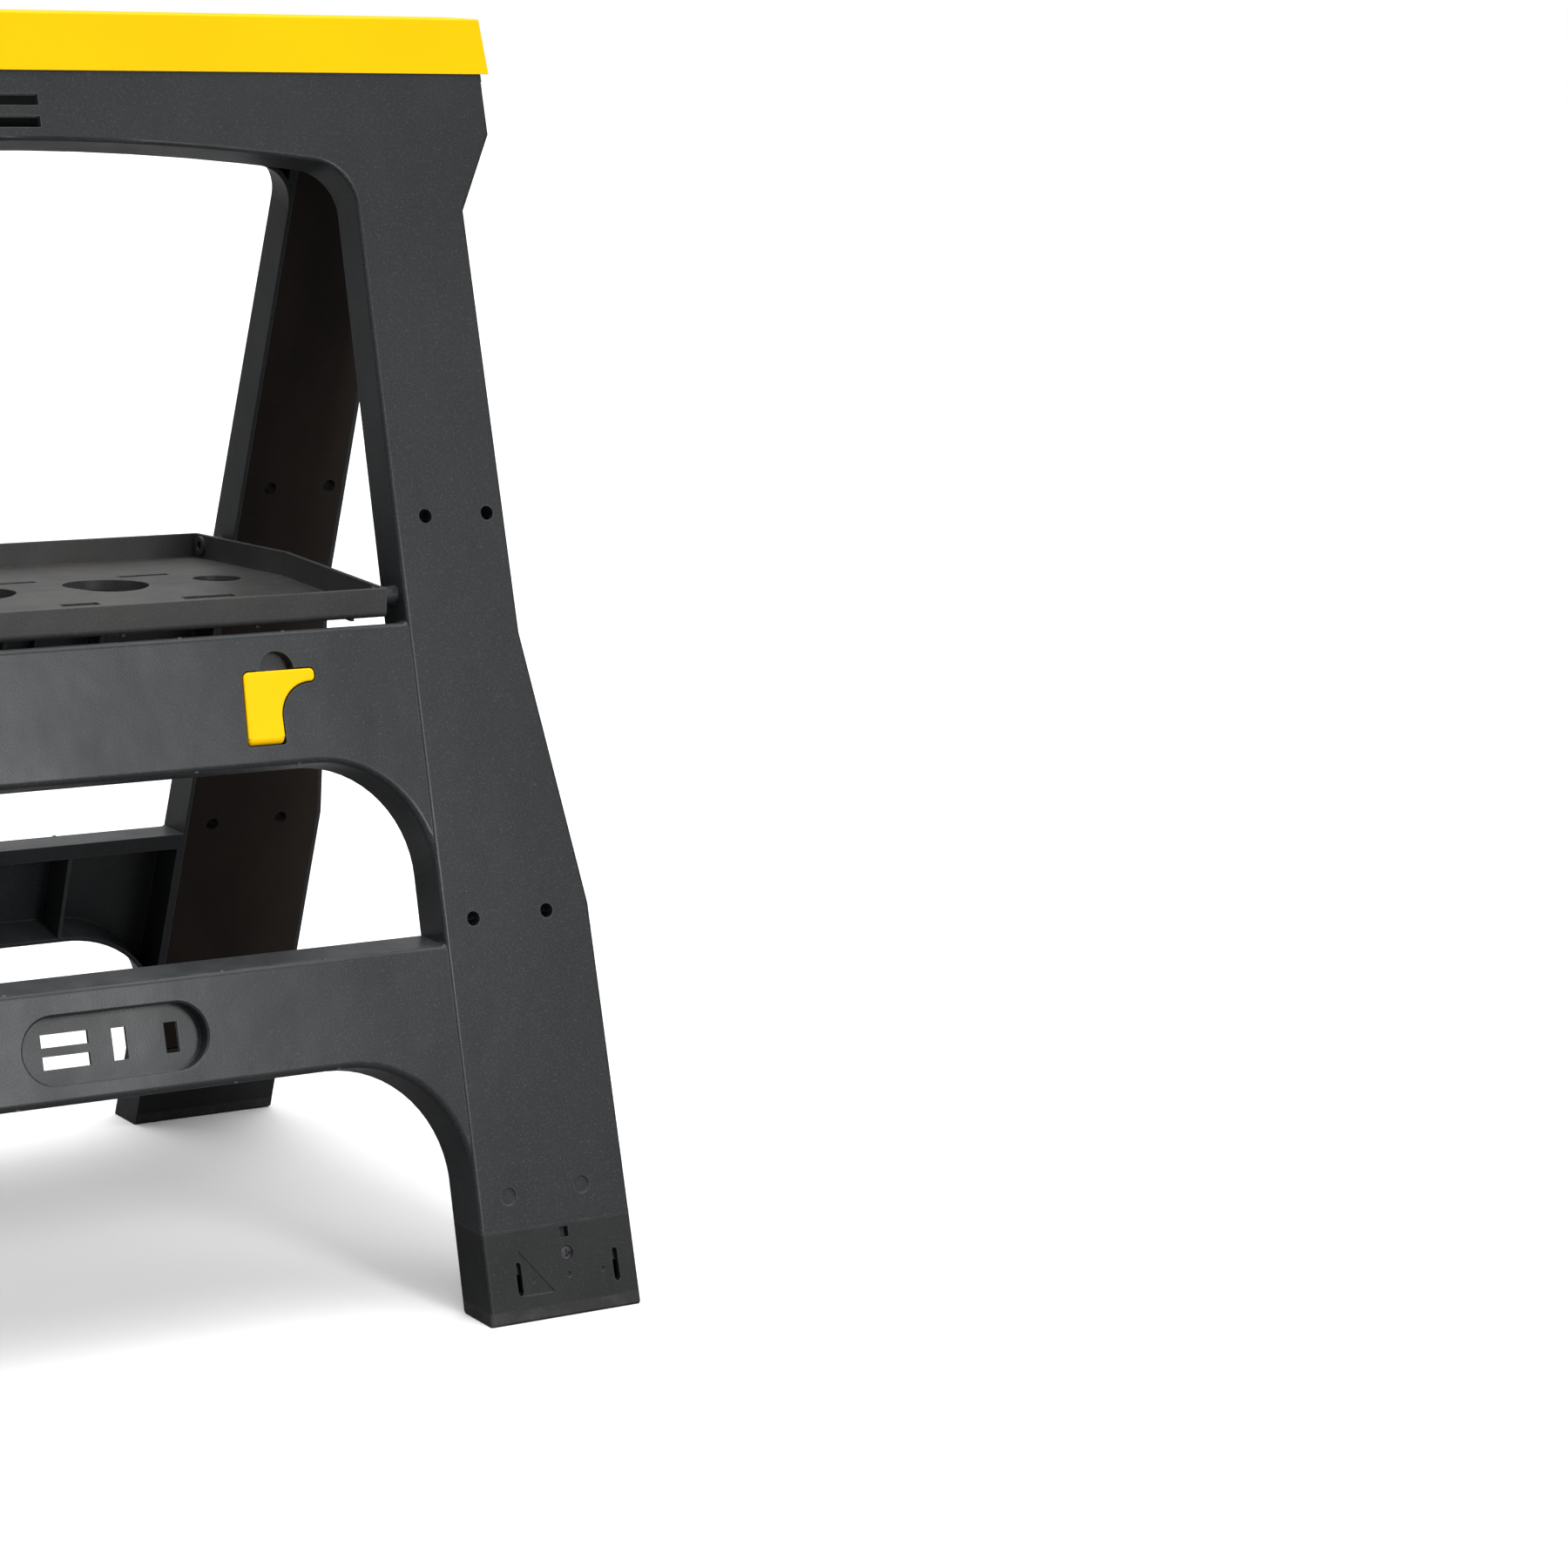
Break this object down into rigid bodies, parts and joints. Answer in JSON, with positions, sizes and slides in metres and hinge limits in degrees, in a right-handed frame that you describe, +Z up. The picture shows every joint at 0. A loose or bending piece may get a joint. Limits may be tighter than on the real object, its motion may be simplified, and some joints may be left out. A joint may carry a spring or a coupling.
{
  "type": "folding sawhorse",
  "caption": "Folding sawhorse: two moulded frames hinged under a flat top, a tray between them that folds up as they close, and four swing-out cord hooks.",
  "frame": {"origin": "on the floor under the middle of the top, midway between the two frames", "axes": "+X along the top, +Y from the front frame to the back frame, +Z up"},
  "size_m": [0.685, 0.549, 0.8],
  "materials": {
    "charcoal_plastic": "moulded, fine satin grain",
    "foot_plastic": "moulded, matte, a shade darker than the frame",
    "black_plastic": "moulded, matte",
    "tray_plastic": "moulded, lightly worn",
    "yellow_plastic": "moulded, satin",
    "sole_rubber": "moulded rubber",
    "dark_steel": "black zinc",
    "bright_steel": "zinc plated"
  },
  "bodies": {
    "front_frame": {"front_panel": "charcoal_plastic", "front_top_cap": "yellow_plastic", "front_cap_screws": "dark_steel", "front_foot_screws": "dark_steel", "front_hook_pins": "bright_steel", "front_left_leg_cover": "black_plastic", "front_right_leg_cover": "black_plastic", "front_left_foot": "foot_plastic", "front_right_foot": "foot_plastic", "front_left_sole": "sole_rubber", "front_right_sole": "sole_rubber", "hinge_rod": "bright_steel", "hinge_rod_clips": "bright_steel", "tray_front_pivot_pins": "bright_steel"},
    "back_frame": {"back_panel": "charcoal_plastic", "back_top_cap": "yellow_plastic", "back_cap_screws": "dark_steel", "back_foot_screws": "dark_steel", "back_hook_pins": "bright_steel", "back_left_leg_cover": "black_plastic", "back_right_leg_cover": "black_plastic", "back_left_foot": "foot_plastic", "back_right_foot": "foot_plastic", "back_left_sole": "sole_rubber", "back_right_sole": "sole_rubber", "tray_back_pivot_pins": "bright_steel"},
    "tray_front": {"tray_front_leaf": "tray_plastic", "tray_mid_pin": "bright_steel"},
    "tray_back": {"tray_back_leaf": "tray_plastic"},
    "front_left_cord_hook": {"front_left_cord_hook": "yellow_plastic"},
    "front_right_cord_hook": {"front_right_cord_hook": "yellow_plastic"},
    "back_left_cord_hook": {"back_left_cord_hook": "yellow_plastic"},
    "back_right_cord_hook": {"back_right_cord_hook": "yellow_plastic"}
  },
  "joints": [
    {"name": "frame_fold", "type": "hinge", "parent": "front_frame", "child": "back_frame", "pos_m": [0, 0, 0.785], "axis": [-1, 0, 0], "range_deg": [0, 33.81]},
    {"name": "tray_front_pivot", "type": "hinge", "parent": "front_frame", "child": "tray_front", "pos_m": [0, -0.122, 0.441], "axis": [1, 0, 0], "range_deg": [0, 73.5]},
    {"name": "tray_mid_hinge", "type": "hinge", "parent": "tray_front", "child": "tray_back", "pos_m": [0, 0, 0.424], "axis": [-1, 0, 0], "range_deg": [0, 180.9]},
    {"name": "front_left_cord_hook_hinge", "type": "hinge", "parent": "front_frame", "child": "front_left_cord_hook", "pos_m": [-0.12175, -0.15676, 0.36262], "axis": [1, 0, 0], "range_deg": [0, 90]},
    {"name": "front_right_cord_hook_hinge", "type": "hinge", "parent": "front_frame", "child": "front_right_cord_hook", "pos_m": [0.12175, -0.15676, 0.36262], "axis": [1, 0, 0], "range_deg": [0, 90]},
    {"name": "back_left_cord_hook_hinge", "type": "hinge", "parent": "back_frame", "child": "back_left_cord_hook", "pos_m": [-0.12175, 0.15676, 0.36262], "axis": [-1, 0, 0], "range_deg": [0, 90]},
    {"name": "back_right_cord_hook_hinge", "type": "hinge", "parent": "back_frame", "child": "back_right_cord_hook", "pos_m": [0.12175, 0.15676, 0.36262], "axis": [-1, 0, 0], "range_deg": [0, 90]}
  ],
  "couplings": [
    {"joint": "tray_front_pivot", "follows": "frame_fold", "ratio": 2.1662},
    {"joint": "tray_mid_hinge", "follows": "frame_fold", "ratio": 5.3324}
  ]
}
